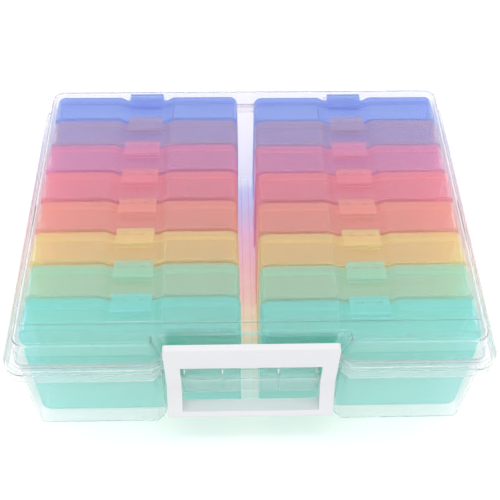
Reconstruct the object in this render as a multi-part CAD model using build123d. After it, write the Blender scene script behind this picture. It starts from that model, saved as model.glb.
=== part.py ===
from build123d import *
import math
import os

# Photo keeper: a clear box with a hinged lid, a white latching handle at the
# front, and sixteen coloured photo cases standing in two columns of eight.
# Millimetres. The origin is the middle of the box's underside; +Z is up, the
# handle faces -Y and the hinge is at +Y.

# ---- driving dimensions -------------------------------------------------
rim_width = 380.0            # widest size of the box, over its rim
rim_front = -150.8           # front edge of the rim
rim_back = 147.2             # rear edge of the rim, in front of the hinge
floor_half = (181.3, 142.0)  # half width and half depth of the tub's underside
wall_half = (182.3, 142.7)   # half width and half depth where the walls meet the rim
top_half = (180.4, 138.8)    # half width and half depth of the lid's top
floor_corners = (8.0, 8.0)   # plan radius of the front and rear corners
wall_corners = (9.0, 9.0)
top_corners = (11.0, 10.0)
rim_corners = (16.0, 22.0)
lip_gap_at_back = 9.0        # the lip stops this far in front of the rear wall

ledge_z = 99.6               # top of the ledge that the lid's flange sits on
lip_z = 102.4                # top of the lip round the flange
skirt_z = 89.3               # lower edge of the rim's skirt
lid_top_z = 124.3            # flat top of the lid
tub_wall = 1.6
tub_floor = 2.5
lid_wall = 1.6
lip_thickness = 2.1
flange_thickness = 2.0
seat_gap = 0.3               # between the lid's flange and the tub's ledge
fold_radius = 3.2            # rounding of the lid's top edges
foot_radius = 2.5            # rounding of the tub's bottom edge
foot_inner_radius = 1.0
floor_rib_half = 4.0         # low rib along the floor between the two columns
floor_rib_y = (-126.0, 136.0)
floor_rib_height = 2.6
floor_rib_round = 1.5
flange_inset = 2.5           # from the rim's edge to the edge of the lid's flange
flange_step = (2.8, 0.6)     # width and depth of the step round the flange's edge

# The front recess behind the handle: a notch with 45 degree mouths.
notch_half = 69.4
notch_mouth = 6.6
notch_depth = 10.0
notch_half_top = 75.4        # the same notch at the lid's top
notch_mouth_top = 2.6
notch_depth_top = 8.6
notch_half_floor = 72.0      # and at the tub's underside
notch_round = 4.0            # rounding of the recess's outer corners
notch_inner_round = 1.5      # and of its deep corners

# ---- photo cases --------------------------------------------------------
colours = ["blue", "purple", "magenta", "red", "orange", "yellow", "green", "aqua"]
sides = ["left", "right"]
case_width = 170.0
case_height = 116.0
case_depth = 30.6
case_wall = 1.25
case_corner = 8.0
case_edge_round = 1.2        # rounding of the edges round a case's front and back
case_fit = 0.15              # between a cover's skirt and the tray's neck
cover_depth = 10.0           # how far the cover reaches forward from the back
neck_length = 4.5            # how much of the tray's neck the cover overlaps
column_x = 93.1              # middle of each column
dip_depth = 3.6              # the lowered middle of a case's top edge
dip_half_top = 24.5
dip_half_low = 18.5
tab_half = 15.4
tab_reach = 15.5             # how far the tab reaches forward over the case
tab_behind = 1.1             # how far it stands out behind the cover
tab_behind_lift = 2.1        # this part starts so far above the lowered middle
tab_rise = 2.4               # its top above the case's top edge
tab_thickness = 1.5
slot_half_spacing = 7.2
slot_size = (5.0, 1.8)
slot_y = -4.2
tab_lift = 0.4               # clearance between the tab and the lowered middle
tab_lip_lift = 0.7           # the same under the tab's front lip
catch_ridge = (12.4, 1.2, 1.2)  # half width, thickness and height of the tray's ridge
catch_ridge_behind = 2.0     # from the tab's front to the ridge
panel_side = 8.0             # margins of the shallow panel on a tray's front
panel_z = (4.0, 27.6)
panel_sink = 0.45
pip_x = 58.0                 # two small raised marks on that panel
pip_half_width = 3.5
pip_z = (8.6, 10.4)
pip_rise = 0.1

# Where the cases stand: the top of each one's back face, from the rear row
# forwards, its shift sideways, and how far each column leans backwards.
left_backs = [136.0, 105.0, 73.8, 40.3, 6.3, -27.1, -60.5, -92.9]
right_backs = [134.0, 103.0, 70.7, 37.6, 2.8, -31.2, -64.2, -98.0]
left_shifts = [0.5, 0.6, -0.4, -0.5, -0.5, -0.5, 0.0, 0.5]
right_shifts = [0.0, 0.5, -0.6, 0.5, -0.3, -0.1, 0.0, -0.5]
left_lean = 3.2              # degrees
right_lean = 0.6

# ---- handle and hinges --------------------------------------------------
handle_half = 67.2
handle_opening_half = 55.2
handle_round = 3.0           # rounding of the top corners
plate_front = -143.5         # front face of the handle's upper part
plate_back = -141.3
plate_low_z = 78.3           # above this the plate has its even thickness
cap_back = -137.9            # back of the handle's top edge
cap_low_z = 104.4
cap_slope = 1.4
cap_wall = (2.4, 2.6)        # end walls and top wall of the hollow behind the plate
handle_top_z = 121.0
handle_top_step = (0.4, 0.6) # small step along the top edge
opening_top_z = 94.0
bend_z = 68.0                # below this the handle leans outwards
grip_front = -158.0
grip_low_z = 36.0
grip_top_z = 43.3
grip_back = -143.8
grip_toe = (2.8, 1.0)        # bevel under the grip
pivot = (-137.3, 62.3)       # y and z of the handle's pivot
pivot_radius = 2.4
pivot_clearance = 0.08
hub_radius = 4.0
hub_flat = 2.0               # half height of the hub's flat back
hub_end = 6.0                # from the pivot up to the hub's end
hub_foot = (2.6, 6.5)        # from the pivot forward and down to the hub's foot
catch_half = 40.0            # ridge that catches over the lid's flange
catch_back = -138.65
catch_z = (103.2, 105.2)

bracket_half = 54.3
bracket_front = -141.1
bracket_z = (52.0, 72.6)
bracket_wall = 1.6
bracket_rib_x = 22.7
bracket_rib_half = 0.7
grip_rib_z = (57.0, 62.3, 67.6)  # short ribs at both ends of the bracket
grip_rib_length = 5.5
grip_rib_half = (0.5, 0.6)

hinge_axis = (151.2, 99.4)   # y and z of the lid's hinge
hinge_x = 95.0
hinge_pin_radius = 2.0
hinge_clearance = 0.08
hinge_barrel_radius = 3.6
hinge_barrel_half = 12.0
hinge_lug_width = 5.0
hinge_side_gap = 0.5
hinge_web_drop = 2.0         # side profile of the webs that carry the pins
hinge_web_out = 2.6
hinge_web_toe = (0.5, 3.0)
hinge_arm_root = 2.0         # the barrels' arms start this far inside the flange
hinge_arm_low = (3.0, 2.4)
hinge_arm_back = 2.5

ridge_y = -120.2             # low ridge across the lid, near its front edge
ridge_half = (176.0, 0.9)
ridge_height = 0.8
ridge_round = 0.85


# ---- outlines -----------------------------------------------------------
def notched_outline(half_width, front, back, corners, half, mouth, depth):
    """Plan outline of the box: rounded corners and the recess at the front."""
    points = [
        (-half_width, back),
        (-half_width, front),
        (-half - mouth, front),
        (-half, front + mouth),
        (-half, front + depth),
        (half, front + depth),
        (half, front + mouth),
        (half + mouth, front),
        (half_width, front),
        (half_width, back),
    ]
    face = make_face(Polyline(*points, close=True))
    for corner, y in zip(corners, (front, back)):
        face = fillet([v for v in face.vertices()
                       if abs(v.X) > half_width - 1 and abs(v.Y - y) < 1], corner)
    deep = front + depth - 1
    face = fillet([v for v in face.vertices()
                   if abs(v.X) < half + mouth + 1 and v.Y < deep], notch_round)
    return fillet([v for v in face.vertices()
                   if abs(v.X) < half + 1 and v.Y > deep], notch_inner_round)


def rim_outline(inset):
    """Outline of the rim, moved in by inset."""
    face = notched_outline(rim_width / 2, rim_front, rim_back, rim_corners,
                           notch_half, notch_mouth, notch_depth)
    return offset(face, -inset) if inset else face


def wall_outline(inset):
    """Outline of the walls where they meet the rim."""
    face = notched_outline(wall_half[0], -wall_half[1], wall_half[1], wall_corners,
                           notch_half, notch_mouth, notch_depth)
    return offset(face, -inset) if inset else face


def floor_outline(inset):
    """Outline of the tub's underside."""
    face = notched_outline(floor_half[0], -floor_half[1], floor_half[1], floor_corners,
                           notch_half_floor, notch_mouth, notch_depth)
    return offset(face, -inset) if inset else face


def top_outline(inset):
    """Outline of the lid's top, before its edge is rounded."""
    face = notched_outline(top_half[0], -top_half[1], top_half[1], top_corners,
                           notch_half_top, notch_mouth_top, notch_depth_top)
    return offset(face, -inset) if inset else face


def at_height(face, z):
    return Pos(0, 0, z) * face


def box_between(low, high):
    """A box between two opposite corners."""
    size = [b - a for a, b in zip(low, high)]
    middle = [(a + b) / 2 for a, b in zip(low, high)]
    return Pos(*middle) * Box(*size)


def prism_along_x(points, x_low, x_high):
    """A side profile, given as (y, z) points, drawn out along X."""
    profile = make_face(Polyline(*[(y, z) for y, z in points], close=True))
    return Pos(x_low, 0, 0) * (Plane.YZ * extrude(profile, x_high - x_low))


def rod_along_x(centre, radius, x_low, x_high):
    """A round rod along X about the line through centre (y, z)."""
    rod = Rot(0, 90, 0) * Cylinder(radius, x_high - x_low)
    return Pos((x_low + x_high) / 2, centre[0], centre[1]) * rod


# ---- the tub ------------------------------------------------------------
def tub_walls():
    """Floor and tapered walls, rounded along the bottom edge."""
    outside = loft([at_height(floor_outline(0), 0),
                    at_height(wall_outline(0), ledge_z)], ruled=True)
    outside = fillet(outside.faces().sort_by(Axis.Z)[0].edges(), foot_radius)
    inside = loft([at_height(floor_outline(tub_wall), tub_floor),
                   at_height(wall_outline(tub_wall), ledge_z)], ruled=True)
    inside = fillet(inside.faces().sort_by(Axis.Z)[0].edges(), foot_inner_radius)
    return outside - inside


def tub_rim():
    """Ledge, lip and skirt that run round the top of the tub."""
    ledge = extrude(at_height(rim_outline(0), ledge_z - tub_wall), tub_wall)
    ledge -= extrude(at_height(wall_outline(tub_wall), ledge_z - 2 * tub_wall), 3 * tub_wall)
    skirt_height = ledge_z - skirt_z
    skirt = extrude(at_height(rim_outline(0), skirt_z), skirt_height)
    skirt -= extrude(at_height(rim_outline(tub_wall), skirt_z), skirt_height)
    lip_height = lip_z - ledge_z
    lip = extrude(at_height(rim_outline(0), ledge_z), lip_height)
    lip -= extrude(at_height(rim_outline(lip_thickness), ledge_z), lip_height)
    lip -= box_between((-rim_width, wall_half[1] - lip_gap_at_back, ledge_z),
                       (rim_width, rim_back + 1, lip_z + 1))
    return ledge + skirt + lip


def tub_hinges():
    """Two pins behind the rim, each held between two lugs."""
    y, z = hinge_axis
    lug_inner = hinge_barrel_half + hinge_side_gap
    lug_outer = lug_inner + hinge_lug_width
    root = rim_back - tub_wall / 2
    web_z = z - hinge_web_drop
    toe = (y + hinge_web_toe[0], skirt_z + hinge_web_toe[1])
    profile = [(root, skirt_z), (root, web_z), (y, z), (y + hinge_web_out, web_z), toe]
    hinges = []
    for middle in (-hinge_x, hinge_x):
        pin = rod_along_x(hinge_axis, hinge_pin_radius, middle - lug_outer, middle + lug_outer)
        hinges.append(pin)
        for start in (-lug_outer, lug_inner):
            low = middle + start
            high = low + hinge_lug_width
            hinges.append(prism_along_x(profile, low, high))
            hinges.append(rod_along_x(hinge_axis, hinge_barrel_radius, low, high))
    return hinges


def tub_bracket():
    """Ribbed box on the recess wall with a pivot pin at each end for the handle."""
    wall = -wall_half[1] + notch_depth + tub_wall / 2
    low, high = bracket_z
    bracket = box_between((-bracket_half, bracket_front, low), (bracket_half, wall, high))
    bracket -= box_between(
        (-bracket_half + bracket_wall, bracket_front + bracket_wall, low - 1),
        (bracket_half - bracket_wall, wall + 1, high - bracket_wall))
    pieces = [bracket]
    for x in (-bracket_rib_x, bracket_rib_x):
        pieces.append(box_between((x - bracket_rib_half, bracket_front, low),
                                  (x + bracket_rib_half, wall, high)))
    for side in (-1, 1):
        tip = side * (handle_half - 1.0)
        root = side * (bracket_half - bracket_wall)
        pieces.append(rod_along_x(pivot, pivot_radius, min(tip, root), max(tip, root)))
        inner = side * (bracket_half - grip_rib_length)
        outer = side * bracket_half
        deep, tall = grip_rib_half
        for z in grip_rib_z:
            pieces.append(box_between((min(inner, outer), bracket_front - deep, z - tall),
                                      (max(inner, outer), bracket_front + deep, z + tall)))
    return pieces


def base_tub():
    tub = tub_walls() + tub_rim()
    front, back = floor_rib_y
    rib = box_between((-floor_rib_half, front, tub_floor - 0.5),
                      (floor_rib_half, back, tub_floor + floor_rib_height))
    rib = fillet(rib.edges().filter_by(Axis.Y).group_by(Axis.Z)[-1], floor_rib_round)
    tub += rib
    for piece in tub_hinges() + tub_bracket():
        tub += piece
    return tub


# ---- the lid ------------------------------------------------------------
def lid_shell():
    """Thin shell with a rounded fold, a flange and two hinge barrels."""
    flange_z = ledge_z + seat_gap
    outside = loft([at_height(wall_outline(0), flange_z),
                    at_height(top_outline(0), lid_top_z)], ruled=True)
    outside = fillet(outside.faces().sort_by(Axis.Z)[-1].edges(), fold_radius)
    inside = loft([at_height(wall_outline(lid_wall), flange_z),
                   at_height(top_outline(lid_wall), lid_top_z - lid_wall)], ruled=True)
    inside = fillet(inside.faces().sort_by(Axis.Z)[-1].edges(), fold_radius - lid_wall)
    step_width, step_depth = flange_step
    flange = extrude(at_height(rim_outline(flange_inset), flange_z), flange_thickness)
    step_z = flange_z + flange_thickness - step_depth
    step = extrude(at_height(rim_outline(flange_inset), step_z), 2 * step_depth)
    step -= extrude(at_height(rim_outline(flange_inset + step_width), flange_z), 2 * flange_thickness)
    lid = outside + (flange - step) - inside
    ridge = box_between((-ridge_half[0], ridge_y - ridge_half[1], lid_top_z - 0.5),
                        (ridge_half[0], ridge_y + ridge_half[1], lid_top_z + ridge_height))
    lid += fillet(ridge.edges().filter_by(Axis.Z), ridge_round)
    return lid + lid_hinges()


def lid_hinges():
    """Two barrels that turn on the tub's pins, each on a short arm."""
    y, z = hinge_axis
    root = rim_back - lip_thickness - hinge_arm_root
    low = ledge_z + seat_gap
    high = low + flange_thickness
    profile = [(root, low), (root, high), (y - hinge_arm_back, high), (y, z + hinge_barrel_radius),
               (y, z + hinge_arm_low[1]), (y - hinge_arm_low[0], low)]
    bore_radius = hinge_pin_radius + hinge_clearance
    arms = []
    for middle in (-hinge_x, hinge_x):
        left = middle - hinge_barrel_half
        right = middle + hinge_barrel_half
        barrel = rod_along_x(hinge_axis, hinge_barrel_radius, left, right)
        arm = prism_along_x(profile, left, right) + barrel
        arms.append(arm - rod_along_x(hinge_axis, bore_radius, left - 1, right + 1))
    return arms


# ---- the handle ---------------------------------------------------------
def handle():
    """White frame: a flat latch plate above the pivot and a leaning grip below."""
    step_y, step_z = handle_top_step
    hub_back = pivot[0] + hub_radius
    profile = [
        (plate_front, handle_top_z), (plate_front, bend_z), (grip_front, grip_low_z),
        (grip_back - grip_toe[0], grip_low_z - grip_toe[1]), (grip_back, grip_top_z),
        (pivot[0] - hub_foot[0], pivot[1] - hub_foot[1]),
        (hub_back, pivot[1] - hub_flat), (hub_back, pivot[1] + hub_flat),
        (pivot[0], pivot[1] + hub_end), (plate_back, plate_low_z),
        (plate_back, cap_low_z - cap_slope), (cap_back, cap_low_z),
        (cap_back, handle_top_z - step_z), (plate_back + 2 * step_y, handle_top_z - step_z),
        (plate_back + step_y, handle_top_z),
    ]
    frame = prism_along_x(profile, -handle_half, handle_half)
    frame -= box_between((-handle_opening_half, grip_front - 1, grip_top_z),
                         (handle_opening_half, 0, opening_top_z))
    hollow_half = handle_half - cap_wall[0]
    frame -= box_between((-hollow_half, plate_back, cap_low_z - 2 * cap_slope),
                         (hollow_half, 0, handle_top_z - cap_wall[1]))
    for side in (-1, 1):
        inner = side * (handle_opening_half - 1)
        outer = side * (handle_half + 1)
        bore_radius = pivot_radius + pivot_clearance
        frame -= rod_along_x(pivot, bore_radius, min(inner, outer), max(inner, outer))
    corners = frame.edges().filter_by(Axis.Y).group_by(Axis.Z)[-1]
    frame = fillet(corners, handle_round)
    return frame + box_between((-catch_half, plate_back - 0.5, catch_z[0]),
                               (catch_half, catch_back, catch_z[1]))


# ---- photo cases --------------------------------------------------------
def case_outline(inset):
    """Upright outline of a case in (x, z), with its lowered middle."""
    half = case_width / 2 - inset
    low = inset
    high = case_height - inset
    points = [
        (-half, low), (half, low), (half, high),
        (dip_half_top + 0.4 * inset, high), (dip_half_low + 0.4 * inset, high - dip_depth),
        (-dip_half_low - 0.4 * inset, high - dip_depth), (-dip_half_top - 0.4 * inset, high),
        (-half, high),
    ]
    face = make_face(Polyline(*points, close=True))
    corners = [v for v in face.vertices() if abs(v.X) > half - 1]
    return fillet(corners, case_corner - inset)


def case_slab(inset, y_front, y_back):
    """The case's outline, drawn out from y_front to y_back."""
    face = Pos(0, y_back, 0) * (Plane.XZ * case_outline(inset))
    return extrude(face, y_back - y_front, dir=(0, -1, 0))


def round_end(slab, end):
    """Rounds the edges of a slab's front face (end 0) or back face (end -1)."""
    face = slab.faces().filter_by(Axis.Y).sort_by(Axis.Y)[end]
    return fillet(face.edges(), case_edge_round)


def case_cover():
    """Shallow rear half with the latch tab that bends over the top."""
    cover = round_end(case_slab(0, -cover_depth, 0), -1)
    cover -= case_slab(case_wall, -cover_depth - 1, -case_wall)
    dip = case_height - dip_depth
    top = case_height + tab_rise
    cover += box_between((-tab_half, -case_wall, dip - 1), (tab_half, 0, top))
    cover += box_between((-tab_half, -case_wall, dip + tab_behind_lift), (tab_half, tab_behind, top))
    tab = box_between((-tab_half, -tab_reach, top - tab_thickness), (tab_half, tab_behind, top))
    long, wide = slot_size
    for x in (-slot_half_spacing, slot_half_spacing):
        tab -= box_between((x - long / 2, slot_y - wide / 2, top - tab_thickness - 1),
                           (x + long / 2, slot_y + wide / 2, top + 1))
    tab += box_between((-tab_half, -tab_reach, dip + tab_lip_lift),
                       (tab_half, -tab_reach + tab_thickness, top))
    return cover + tab


def case_tray():
    """Deeper front half with a neck that the cover closes over."""
    shoulder = -cover_depth - case_fit
    tray = round_end(case_slab(0, -case_depth, shoulder), 0)
    neck = case_wall + case_fit
    tray += case_slab(neck, shoulder - 1, -cover_depth + neck_length)
    tray -= case_slab(neck + case_wall, -case_depth + case_wall, 1)
    panel_half = case_width / 2 - panel_side
    tray -= box_between((-panel_half, -case_depth - 1, panel_z[0]),
                        (panel_half, -case_depth + panel_sink, panel_z[1]))
    for x in (-pip_x, pip_x):
        tray += box_between((x - pip_half_width, -case_depth - pip_rise, pip_z[0]),
                            (x + pip_half_width, -case_depth + 2 * panel_sink, pip_z[1]))
    half, thick, tall = catch_ridge
    dip = case_height - dip_depth
    ridge_front = -tab_reach + catch_ridge_behind
    return tray + box_between((-half, ridge_front, dip - 0.5), (half, ridge_front + thick, dip + tall))


# ---- write the pieces ---------------------------------------------------
def main():
    os.makedirs("parts", exist_ok=True)
    export_step(base_tub(), "parts/base_tub.step")
    export_step(lid_shell(), "parts/lid_shell.step")
    export_step(handle(), "parts/handle.step")
    tray = case_tray()
    cover = case_cover()
    columns = {"left": (-column_x, left_backs, left_shifts, left_lean),
               "right": (column_x, right_backs, right_shifts, right_lean)}
    for side in sides:
        middle, backs, shifts, lean = columns[side]
        reach = case_height * math.sin(math.radians(lean))
        for colour, back, shift in zip(colours, backs, shifts):
            place = Pos(middle + shift, back - reach, tub_floor) * Rot(-lean, 0, 0)
            name = "parts/case_" + colour + "_" + side
            export_step(place * tray, name + "_tray.step")
            export_step(place * cover, name + "_cover.step")


main()
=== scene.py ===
import math

import bpy
from bpy.props import FloatProperty, FloatVectorProperty, PointerProperty
from bpy.types import Operator, Panel, PropertyGroup
from mathutils import Matrix, Vector


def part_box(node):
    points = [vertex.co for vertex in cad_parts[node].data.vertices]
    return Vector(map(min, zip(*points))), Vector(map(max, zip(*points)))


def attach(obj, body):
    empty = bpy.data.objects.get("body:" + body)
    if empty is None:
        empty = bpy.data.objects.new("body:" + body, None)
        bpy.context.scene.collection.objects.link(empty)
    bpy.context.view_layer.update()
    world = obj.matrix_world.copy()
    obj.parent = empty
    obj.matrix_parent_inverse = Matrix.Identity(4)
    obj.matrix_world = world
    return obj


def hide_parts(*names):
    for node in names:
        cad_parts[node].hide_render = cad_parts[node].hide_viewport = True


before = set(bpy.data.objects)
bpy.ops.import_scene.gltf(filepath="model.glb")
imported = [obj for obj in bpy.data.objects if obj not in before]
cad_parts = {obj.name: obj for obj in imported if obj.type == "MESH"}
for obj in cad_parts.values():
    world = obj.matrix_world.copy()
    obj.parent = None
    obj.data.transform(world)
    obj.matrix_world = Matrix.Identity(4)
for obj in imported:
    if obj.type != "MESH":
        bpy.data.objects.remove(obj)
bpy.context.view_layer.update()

bl_info = {
    "name": "Photo keeper case",
    "version": (1, 0, 0),
    "blender": (4, 5, 0),
    "location": "View3D > Sidebar > Photo keeper",
    "description": "Finishes a clear carry box that holds sixteen tinted photo cases",
    "category": "Object",
}

MM = 0.001
CASE_COLOURS = ("blue", "purple", "magenta", "red", "orange", "yellow", "green", "aqua")
CASE_SIDES = ("left", "right")
PLASTIC_IOR = 1.49           # polypropylene
MILK_THROUGH = 0.4           # share of the milk's light that goes on through the wall
RIM_POWER = 3.0              # how fast the milk gathers where a wall is seen edge-on
MILK_PASSED = 0.92           # share of the milk that light for another surface doesn't meet
SHARP = math.radians(30)     # faces that meet at more than this make an edge
SMOOTH = math.radians(38)    # faces that meet at less than this are shaded as one
FLAT = math.radians(0.5)     # faces that meet at less than this are one face
WELD = 0.02 * MM             # corners closer than this are one corner
HANDLE_SIDE = 0.1 * MM       # the handle's outer corners lie within this of its sides
HANDLE_FOOT = 2.0 * MM       # the handle's lower edges lie within this of its underside
HANDLE_FRONT = -142.5 * MM   # the handle's front faces lie in front of this
PHOTO_WIDTH = 500            # pixels across the photograph
SENSOR_WIDTH = 36.0          # millimetres
FLOOR_SIZE = 12.0            # metres
FLOOR_GLOW = 0.2             # what the floor adds for the eye, so that it comes out white


# ---- colours and sizes that a user may change -----------------------------------
def linear(hex_colour, alpha=1.0):
    """An sRGB hex colour as linear red, green, blue and alpha."""
    digits = hex_colour.lstrip("#")
    levels = [int(digits[i:i + 2], 16) / 255 for i in (0, 2, 4)]
    return [c / 12.92 if c <= 0.04045 else ((c + 0.055) / 1.055) ** 2.4 for c in levels] + [alpha]


def tint(name, description, hex_colour):
    """A colour property."""
    return FloatVectorProperty(name=name, description=description, subtype="COLOR", size=4,
                               min=0.0, max=1.0, default=linear(hex_colour))


def length(name, description, millimetres):
    """A length property."""
    return FloatProperty(name=name, description=description, subtype="DISTANCE", unit="LENGTH",
                         precision=5, default=millimetres * MM)


class KeeperSizes(PropertyGroup):
    """Rounding of the handle's edges."""
    handle_corner: length("Handle's lower corners", "Radius of the handle's lower corners", 3.6)
    handle_edge: length("Handle's edges", "Radius of the edges round the handle's front", 0.4)


class KeeperColours(PropertyGroup):
    """Colours of the plastics: a tint colours the light that passes a wall, a milk what it scatters."""
    clear_tint: tint("Clear tint", "Tint of the clear box and lid", "#fafafc")
    clear_milk: tint("Clear milk", "Haze of the clear box and lid", "#eceef2")
    white: tint("White", "Colour of the handle", "#e4e4e7")
    blue_tint: tint("Blue tint", "Tint of the blue cases", "#cedefe")
    blue_milk: tint("Blue milk", "Haze of the blue cases", "#7eacf1")
    purple_tint: tint("Purple tint", "Tint of the purple cases", "#ebe2f6")
    purple_milk: tint("Purple milk", "Haze of the purple cases", "#d1c1d0")
    magenta_tint: tint("Magenta tint", "Tint of the magenta cases", "#ffd9ec")
    magenta_milk: tint("Magenta milk", "Haze of the magenta cases", "#f1b3d9")
    red_tint: tint("Red tint", "Tint of the red cases", "#ffdce3")
    red_milk: tint("Red milk", "Haze of the red cases", "#ffaec5")
    orange_tint: tint("Orange tint", "Tint of the orange cases", "#ffe3db")
    orange_milk: tint("Orange milk", "Haze of the orange cases", "#ffc3b9")
    yellow_tint: tint("Yellow tint", "Tint of the yellow cases", "#fff5cc")
    yellow_milk: tint("Yellow milk", "Haze of the yellow cases", "#fff4be")
    green_tint: tint("Green tint", "Tint of the green cases", "#dff8ea")
    green_milk: tint("Green milk", "Haze of the green cases", "#dcf6ef")
    aqua_tint: tint("Aqua tint", "Tint of the aqua cases", "#d2f7f4")
    aqua_milk: tint("Aqua milk", "Haze of the aqua cases", "#abf7f8")


class KeeperStudio(PropertyGroup):
    """Camera and light."""
    place: FloatVectorProperty(name="Camera", description="Where the camera stands", subtype="XYZ",
                               unit="LENGTH", default=(-14.152 * MM, -458.042 * MM, 656.939 * MM))
    yaw: FloatProperty(name="Yaw", description="Turn to the right", subtype="ANGLE", default=0.0362)
    pitch: FloatProperty(name="Pitch", description="Tilt downwards", subtype="ANGLE", default=0.9191)
    roll: FloatProperty(name="Roll", description="Clockwise roll", subtype="ANGLE", default=0.0182)
    focal: FloatProperty(name="Focal length", description="In pixels of a 500 pixel frame", default=827.43)
    sky: FloatProperty(name="Sky", description="Strength of the even light from all round", default=1.05)
    softbox: FloatProperty(name="Softbox", description="Power of the overhead softbox", subtype="POWER",
                           unit="POWER", default=2.0)
    paper: tint("Paper", "Colour of the floor", "#fafafa")


# ---- shaping ----------------------------------------------------------------------
def only(piece):
    """Selects one piece and makes it the active one."""
    bpy.ops.object.select_all(action="DESELECT")
    piece.select_set(True)
    bpy.context.view_layer.objects.active = piece


def merged_copy(node):
    """A CAD node's skin as one new piece with whole flat faces, ready to be shaped."""
    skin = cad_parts[node].data.copy()
    skin.materials.clear()
    piece = bpy.data.objects.new(node + "_moulding", skin)
    bpy.context.scene.collection.objects.link(piece)
    only(piece)
    bpy.ops.object.mode_set(mode="EDIT")
    bpy.ops.mesh.select_all(action="SELECT")
    bpy.ops.mesh.customdata_custom_splitnormals_clear()
    bpy.ops.mesh.remove_doubles(threshold=WELD)
    bpy.ops.mesh.dissolve_limited(angle_limit=FLAT)
    bpy.ops.mesh.select_all(action="DESELECT")
    bpy.ops.object.mode_set(mode="OBJECT")
    return piece


def bevel_where(piece, wanted, width, segments):
    """Rounds the sharp edges whose two ends pass the test wanted(start, end)."""
    mesh = piece.data
    sides = {}
    for face in mesh.polygons:
        for key in face.edge_keys:
            sides.setdefault(key, []).append(face.normal)
    for item in list(mesh.vertices) + list(mesh.edges) + list(mesh.polygons):
        item.select = False
    for edge in mesh.edges:
        normals = sides.get(edge.key, [])
        if len(normals) != 2 or normals[0].angle(normals[1]) <= SHARP:
            continue
        ends = [mesh.vertices[i] for i in edge.vertices]
        if wanted(ends[0].co, ends[1].co):
            edge.select = True
            for end in ends:
                end.select = True
    only(piece)
    bpy.ops.object.mode_set(mode="EDIT")
    bpy.ops.mesh.select_mode(type="EDGE")
    bpy.ops.mesh.bevel(offset=width, offset_type="OFFSET", segments=segments, affect="EDGES",
                       clamp_overlap=False)
    bpy.ops.mesh.select_all(action="DESELECT")
    bpy.ops.object.mode_set(mode="OBJECT")


def smooth(piece):
    """Shades the rounded edges smooth and keeps the broad faces flat."""
    only(piece)
    bpy.ops.object.shade_smooth_by_angle(angle=SMOOTH)
    bpy.ops.object.modifier_add(type="WEIGHTED_NORMAL")
    piece.modifiers[-1].keep_sharp = True
    bpy.ops.object.modifier_apply(modifier=piece.modifiers[-1].name)


# ---- finishes ---------------------------------------------------------------------
def add_node(tree, kind, inputs=None, **settings):
    """Adds a node with its settings. inputs gives a socket its value or the output that feeds it."""
    node = tree.nodes.new(kind)
    for name, value in settings.items():
        setattr(node, name, value)
    for name, value in (inputs or {}).items():
        if isinstance(value, bpy.types.NodeSocket):
            tree.links.new(value, node.inputs[name])
        else:
            node.inputs[name].default_value = value
    return node


def maths(tree, operation, *values, clamp=False):
    """What an operation makes of its values, each a number or an output."""
    return add_node(tree, "ShaderNodeMath", dict(enumerate(values)), operation=operation,
                    use_clamp=clamp).outputs[0]


def mixed(tree, share, first, second):
    """A mix of two shaders, with this share of the second."""
    return add_node(tree, "ShaderNodeMixShader", {0: share, 1: first.outputs[0], 2: second.outputs[0]})


def fine_bump(tree, place, across, detail, strength, depth):
    """The normals of a skin with noise bumps, this far across and this deep in metres."""
    noise = add_node(tree, "ShaderNodeTexNoise", {"Vector": place, "Scale": 1 / across, "Detail": detail})
    return add_node(tree, "ShaderNodeBump", {
        "Height": noise.outputs[0], "Strength": strength, "Distance": depth}).outputs[0]


def uneven(tree, place, across, low, high):
    """A value that drifts between low and high in patches, this far across in metres."""
    noise = add_node(tree, "ShaderNodeTexNoise", {"Vector": place, "Scale": 1 / across, "Detail": 4.0})
    return add_node(tree, "ShaderNodeMapRange", {
        "Value": noise.outputs[0], "From Min": 0.3, "From Max": 0.7, "To Min": low, "To Max": high}).outputs[0]


def new_material(name):
    """An empty material, its node tree and its output."""
    material = bpy.data.materials.new(name)
    material.use_nodes = True
    tree = material.node_tree
    tree.nodes.clear()
    return material, tree, add_node(tree, "ShaderNodeOutputMaterial")


def seen_directly(tree):
    """1 for what the eye sees, straight or by reflection or refraction, and 0 for plain light."""
    path = add_node(tree, "ShaderNodeLightPath")
    seen = maths(tree, "MAXIMUM", path.outputs["Is Camera Ray"], path.outputs["Is Glossy Ray"])
    return maths(tree, "MAXIMUM", seen, path.outputs["Is Transmission Ray"])


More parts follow.
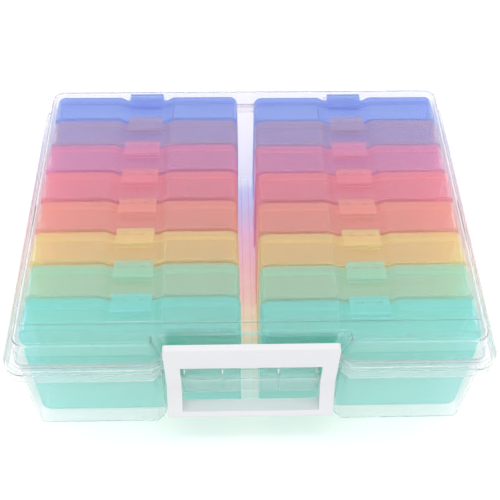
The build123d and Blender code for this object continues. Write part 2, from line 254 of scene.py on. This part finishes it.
def moulded_plastic(name, tint_colour, light_colour, milk_colour, haze, edge, roughness):
    """Injection-moulded translucent polypropylene, which gives the eye three things: walls that
    bend and tint what shows through them, a little milkiness that grows where a wall is seen
    edge-on, and a soft gloss whose sharpness drifts from place to place. Light on its way to
    another surface passes nearly straight, in light_colour, as it does through thin walls."""
    material, tree, output = new_material(name)
    place = add_node(tree, "ShaderNodeTexCoord").outputs["Object"]
    path = add_node(tree, "ShaderNodeLightPath")
    light = maths(tree, "MAXIMUM", path.outputs["Is Shadow Ray"], path.outputs["Is Diffuse Ray"])
    facing = add_node(tree, "ShaderNodeLayerWeight", {"Blend": 0.5}).outputs["Facing"]
    # The moulded skin's faint orange peel is about 6 mm from bump to bump
    bump = fine_bump(tree, place, across=6 * MM, detail=2.0, strength=0.1, depth=0.015 * MM)
    # The flow of the melt leaves the gloss uneven in patches of about 22 mm
    gloss = uneven(tree, place, across=22 * MM, low=roughness * 0.7, high=roughness * 1.3)
    clear = add_node(tree, "ShaderNodeBsdfPrincipled", {
        "Base Color": tint_colour, "Roughness": gloss, "IOR": PLASTIC_IOR, "Transmission Weight": 1.0})
    passing = add_node(tree, "ShaderNodeBsdfTransparent", {"Color": light_colour})
    core = mixed(tree, light, clear, passing)
    front = add_node(tree, "ShaderNodeBsdfDiffuse", {"Color": milk_colour, "Normal": bump})
    through = add_node(tree, "ShaderNodeBsdfTranslucent", {"Color": milk_colour, "Normal": bump})
    milk = mixed(tree, MILK_THROUGH, front, through)
    rim = maths(tree, "POWER", facing, RIM_POWER)
    share = maths(tree, "MULTIPLY_ADD", rim, edge, haze, clamp=True)
    left_for_light = maths(tree, "MULTIPLY_ADD", light, -MILK_PASSED, 1.0)
    wall = mixed(tree, maths(tree, "MULTIPLY", share, left_for_light), core, milk)
    tree.links.new(wall.outputs[0], output.inputs["Surface"])
    return material


def white_plastic(name, colour):
    """Injection-moulded opaque white polypropylene: an even white with a satin sheen, a fine
    moulded grain and slightly shinier patches where hands have rubbed it."""
    material, tree, output = new_material(name)
    place = add_node(tree, "ShaderNodeTexCoord").outputs["Object"]
    # The grain is 0.9 mm across, coarser than the mould's own, so that it shows
    bump = fine_bump(tree, place, across=0.9 * MM, detail=3.0, strength=0.2, depth=0.03 * MM)
    # The rubbed patches are about 14 mm across
    gloss = uneven(tree, place, across=14 * MM, low=0.32, high=0.46)
    skin = add_node(tree, "ShaderNodeBsdfPrincipled", {
        "Base Color": colour, "Roughness": gloss, "IOR": PLASTIC_IOR, "Normal": bump})
    tree.links.new(skin.outputs[0], output.inputs["Surface"])
    return material


# ---- the object's pieces ------------------------------------------------------------
class KEEPER_OT_clear_box(Operator):
    """Finishes the clear tub and its lid"""
    bl_idname = "keeper.clear_box"
    bl_label = "Clear box and lid"

    def execute(self, context):
        colours = context.scene.keeper_colours
        clear = moulded_plastic("clear_moulded_polypropylene", colours.clear_tint, linear("#ffffff"),
                                colours.clear_milk, haze=0.045, edge=0.45, roughness=0.03)
        for node in ("base_tub", "lid_shell"):
            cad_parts[node].material_slots[0].material = clear
        return {"FINISHED"}


class KEEPER_OT_photo_cases(Operator):
    """Finishes the sixteen photo cases, each a tray and a cover of one tinted plastic"""
    bl_idname = "keeper.photo_cases"
    bl_label = "Photo cases"

    def execute(self, context):
        colours = context.scene.keeper_colours
        for colour in CASE_COLOURS:
            wall_tint = getattr(colours, colour + "_tint")
            milk = getattr(colours, colour + "_milk")
            tinted = moulded_plastic(colour + "_moulded_polypropylene", wall_tint, wall_tint, milk,
                                     haze=0.24, edge=0.35, roughness=0.05)
            for side in CASE_SIDES:
                for half in ("tray", "cover"):
                    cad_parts[f"case_{colour}_{side}_{half}"].material_slots[0].material = tinted
        return {"FINISHED"}


class KEEPER_OT_handle(Operator):
    """Shapes the white handle's rounded corners and edges"""
    bl_idname = "keeper.handle"
    bl_label = "Handle"

    def execute(self, context):
        sizes = context.scene.keeper_sizes
        low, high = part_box("handle")
        side = high[0] - HANDLE_SIDE
        foot = low[2] + HANDLE_FOOT
        piece = merged_copy("handle")
        # The lower corners' edges run from front to back
        bevel_where(piece, lambda a, b: min(abs(a.x), abs(b.x)) > side and max(a.z, b.z) < foot
                    and abs(a.y - b.y) > 5 * abs(a.z - b.z), sizes.handle_corner, segments=5)
        # The edges round the front, but for the lowest, which is too acute to round
        bevel_where(piece, lambda a, b: max(a.y, b.y) < HANDLE_FRONT and max(a.z, b.z) > foot,
                    sizes.handle_edge, segments=3)
        smooth(piece)
        white = context.scene.keeper_colours.white
        piece.data.materials.append(white_plastic("white_moulded_polypropylene", white))
        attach(piece, "latch_handle")
        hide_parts("handle")
        return {"FINISHED"}


# ---- the stage ------------------------------------------------------------------------
def add_camera(studio):
    """The camera, at the photograph's viewing angle."""
    level = Vector((math.sin(studio.yaw), math.cos(studio.yaw), 0))
    side = Vector((math.cos(studio.yaw), -math.sin(studio.yaw), 0))
    up_axis = Vector((0, 0, 1))
    forward = level * math.cos(studio.pitch) - up_axis * math.sin(studio.pitch)
    above = up_axis * math.cos(studio.pitch) + level * math.sin(studio.pitch)
    right = side * math.cos(studio.roll) + above * math.sin(studio.roll)
    up = above * math.cos(studio.roll) - side * math.sin(studio.roll)
    bpy.ops.object.camera_add(location=studio.place)
    camera = bpy.context.object
    camera.rotation_mode = "QUATERNION"
    camera.rotation_quaternion = Matrix((right, up, -forward)).transposed().to_quaternion()
    camera.data.sensor_width = SENSOR_WIDTH
    camera.data.lens = studio.focal / PHOTO_WIDTH * SENSOR_WIDTH
    camera.data.clip_start = 0.01
    camera.data.clip_end = 50
    bpy.context.scene.camera = camera


def add_softbox(name, place, target, size, power):
    """A rectangular softbox that points at target."""
    bpy.ops.object.light_add(type="AREA", location=place)
    light = bpy.context.object
    light.name = name
    light.data.shape = "RECTANGLE"
    light.data.size = size[0]
    light.data.size_y = size[1]
    light.data.energy = power
    light.rotation_mode = "QUATERNION"
    light.rotation_quaternion = (Vector(target) - Vector(place)).to_track_quat("-Z", "Y")


def add_sky(studio):
    """Even light from all round, behind a white background."""
    world = bpy.data.worlds.new("studio_sky")
    world.use_nodes = True
    tree = world.node_tree
    tree.nodes.clear()
    light = add_node(tree, "ShaderNodeBackground", {"Color": linear("#ffffff"), "Strength": studio.sky})
    white = add_node(tree, "ShaderNodeBackground", {"Color": linear("#ffffff"), "Strength": 1.0})
    sky = mixed(tree, seen_directly(tree), light, white)
    add_node(tree, "ShaderNodeOutputWorld", {"Surface": sky.outputs[0]})
    bpy.context.scene.world = world


def add_floor(studio):
    """Matt white paper floor, which comes out white and keeps the shadow."""
    bpy.ops.mesh.primitive_plane_add(size=FLOOR_SIZE)
    floor = bpy.context.object
    floor.name = "floor"
    material, tree, output = new_material("matt_white_paper")
    paper = add_node(tree, "ShaderNodeBsdfDiffuse", {"Color": studio.paper})
    glow = add_node(tree, "ShaderNodeEmission", {"Color": linear("#ffffff"), "Strength": FLOOR_GLOW})
    both = add_node(tree, "ShaderNodeAddShader", {0: paper.outputs[0], 1: glow.outputs[0]})
    sheet = mixed(tree, seen_directly(tree), paper, both)
    tree.links.new(sheet.outputs[0], output.inputs["Surface"])
    floor.data.materials.append(material)


class KEEPER_OT_studio(Operator):
    """Builds the camera, the white floor and the light"""
    bl_idname = "keeper.studio"
    bl_label = "Studio"

    def execute(self, context):
        studio = context.scene.keeper_studio
        context.scene.view_settings.view_transform = "Standard"
        # A look through both rows of cases crosses some 36 skins of plastic
        cycles = context.scene.cycles
        cycles.max_bounces = 36
        cycles.transmission_bounces = 36
        cycles.transparent_max_bounces = 48
        cycles.diffuse_bounces = 8
        cycles.glossy_bounces = 8
        add_camera(studio)
        add_sky(studio)
        add_floor(studio)
        add_softbox("softbox_overhead", place=(0, -0.15, 1.4), target=(0, 0, 0.1), size=(1.2, 0.14),
                    power=studio.softbox)
        return {"FINISHED"}


# ---- the sidebar panel ------------------------------------------------------------------
class KEEPER_PT_panel(Panel):
    """Lists the steps that finish the photo keeper, and what may be changed"""
    bl_idname = "KEEPER_PT_panel"
    bl_label = "Photo keeper"
    bl_space_type = "VIEW_3D"
    bl_region_type = "UI"
    bl_category = "Photo keeper"

    def draw(self, context):
        scene = context.scene
        for step in STEPS:
            self.layout.operator(step.bl_idname)
        for group in (scene.keeper_sizes, scene.keeper_colours, scene.keeper_studio):
            for name in group.__annotations__:
                self.layout.prop(group, name)


STEPS = (KEEPER_OT_clear_box, KEEPER_OT_photo_cases, KEEPER_OT_handle, KEEPER_OT_studio)
CLASSES = (KeeperSizes, KeeperColours, KeeperStudio) + STEPS + (KEEPER_PT_panel,)


def register():
    for cls in CLASSES:
        bpy.utils.register_class(cls)
    bpy.types.Scene.keeper_sizes = PointerProperty(type=KeeperSizes)
    bpy.types.Scene.keeper_colours = PointerProperty(type=KeeperColours)
    bpy.types.Scene.keeper_studio = PointerProperty(type=KeeperStudio)


def unregister():
    del bpy.types.Scene.keeper_studio
    del bpy.types.Scene.keeper_colours
    del bpy.types.Scene.keeper_sizes
    for cls in reversed(CLASSES):
        bpy.utils.unregister_class(cls)


def main():
    register()
    bpy.ops.keeper.clear_box()
    bpy.ops.keeper.photo_cases()
    bpy.ops.keeper.handle()
    bpy.ops.keeper.studio()


if __name__ == "__main__":
    main()
